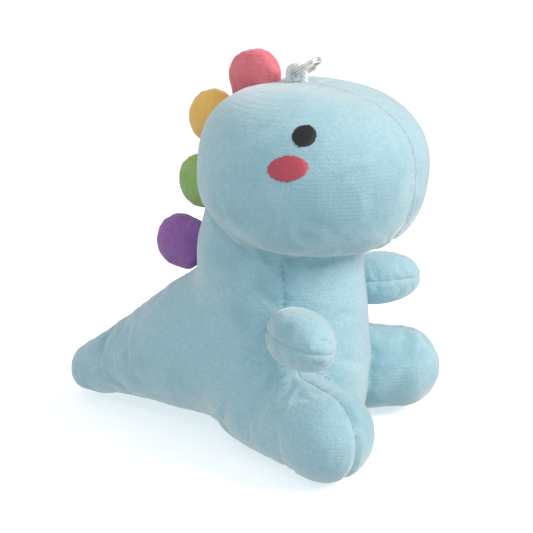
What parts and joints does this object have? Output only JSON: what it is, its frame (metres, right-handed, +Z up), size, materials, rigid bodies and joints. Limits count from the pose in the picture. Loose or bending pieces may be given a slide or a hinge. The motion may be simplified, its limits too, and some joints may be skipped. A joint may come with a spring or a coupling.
{
  "type": "plush keychain",
  "caption": "Small seated stuffed plush dinosaur with padded back spines, embroidered face, a cord loop on its head and a split ring for keys.",
  "frame": {"origin": "middle of the flat seat, on the surface that the toy sits on", "axes": "+Z up, -Y the way the toy faces, -X its right side"},
  "size_m": [0.0752, 0.1004, 0.1009],
  "materials": {
    "blue_plush": "short-pile velvet plush",
    "pink_plush": "short-pile velvet plush",
    "yellow_plush": "short-pile velvet plush",
    "green_plush": "short-pile velvet plush",
    "purple_plush": "short-pile velvet plush",
    "fibrefill": "loose polyester fibre",
    "black_thread": "satin stitch",
    "pink_thread": "satin stitch",
    "white_cord": "braided cord",
    "plated_steel": "nickel plated"
  },
  "bodies": {
    "body": {"side_panel_right": "blue_plush", "side_panel_left": "blue_plush", "belly_panel": "blue_plush", "base_panel": "blue_plush", "chin_gusset": "blue_plush", "head_stuffing": "fibrefill", "body_stuffing": "fibrefill", "eye_right": "black_thread", "eye_left": "black_thread", "cheek_right": "pink_thread", "cheek_left": "pink_thread", "cord_knot": "white_cord"},
    "arm_right": {"arm_right_upper": "blue_plush", "arm_right_lower": "blue_plush", "arm_right_stuffing": "fibrefill"},
    "leg_right": {"leg_right_outer": "blue_plush", "leg_right_inner": "blue_plush", "leg_right_stuffing": "fibrefill"},
    "arm_left": {"arm_left_upper": "blue_plush", "arm_left_lower": "blue_plush", "arm_left_stuffing": "fibrefill"},
    "leg_left": {"leg_left_outer": "blue_plush", "leg_left_inner": "blue_plush", "leg_left_stuffing": "fibrefill"},
    "spine_pink": {"spine_pink_right": "pink_plush", "spine_pink_left": "pink_plush", "spine_pink_stuffing": "fibrefill"},
    "spine_yellow": {"spine_yellow_right": "yellow_plush", "spine_yellow_left": "yellow_plush", "spine_yellow_stuffing": "fibrefill"},
    "spine_green": {"spine_green_right": "green_plush", "spine_green_left": "green_plush", "spine_green_stuffing": "fibrefill"},
    "spine_purple": {"spine_purple_right": "purple_plush", "spine_purple_left": "purple_plush", "spine_purple_stuffing": "fibrefill"},
    "cord": {"cord_loop": "white_cord"},
    "ring": {"split_ring": "plated_steel"}
  },
  "joints": [
    {"name": "arm_right_swing", "type": "hinge", "parent": "body", "child": "arm_right", "pos_m": [-0.021, -0.0089, 0.0345], "axis": [0, 0, -1], "range_deg": [-12, 35], "stiffness_Nm_per_rad": 0.004},
    {"name": "leg_right_lift", "type": "hinge", "parent": "body", "child": "leg_right", "pos_m": [-0.0125, 0.001, 0.0128], "axis": [-1, 0, 0], "range_deg": [0, 10], "stiffness_Nm_per_rad": 0.004},
    {"name": "arm_left_swing", "type": "hinge", "parent": "body", "child": "arm_left", "pos_m": [0.021, -0.0089, 0.0345], "axis": [0, 0, 1], "range_deg": [-12, 35], "stiffness_Nm_per_rad": 0.004},
    {"name": "leg_left_lift", "type": "hinge", "parent": "body", "child": "leg_left", "pos_m": [0.0125, 0.001, 0.0128], "axis": [-1, 0, 0], "range_deg": [0, 10], "stiffness_Nm_per_rad": 0.004},
    {"name": "spine_pink_bend", "type": "hinge", "parent": "body", "child": "spine_pink", "pos_m": [0.00221, 0.00784, 0.0906], "axis": [0.1361, 0.9686, -0.2079], "range_deg": [-25, 25], "stiffness_Nm_per_rad": 0.002},
    {"name": "spine_yellow_bend", "type": "hinge", "parent": "body", "child": "spine_yellow", "pos_m": [0.00369, 0.01834, 0.08], "axis": [0.0696, 0.4951, -0.866], "range_deg": [-25, 25], "stiffness_Nm_per_rad": 0.002},
    {"name": "spine_green_bend", "type": "hinge", "parent": "body", "child": "spine_green", "pos_m": [0.00412, 0.02141, 0.0648], "axis": [0, 0, -1], "range_deg": [-25, 25], "stiffness_Nm_per_rad": 0.002},
    {"name": "spine_purple_bend", "type": "hinge", "parent": "body", "child": "spine_purple", "pos_m": [0, 0.0266, 0.0476], "axis": [0, 0.2419, -0.9703], "range_deg": [-25, 25], "stiffness_Nm_per_rad": 0.002},
    {"name": "cord_flop", "type": "hinge", "parent": "body", "child": "cord", "pos_m": [0.00068, -0.00305, 0.0919], "axis": [0.1392, 0.9903, 0], "range_deg": [-30, 30], "stiffness_Nm_per_rad": 0.003},
    {"name": "ring_swing", "type": "hinge", "parent": "cord", "child": "ring", "pos_m": [0.00068, -0.00305, 0.09414], "axis": [-0.9903, 0.1392, 0], "range_deg": [-20, 60]}
  ]
}
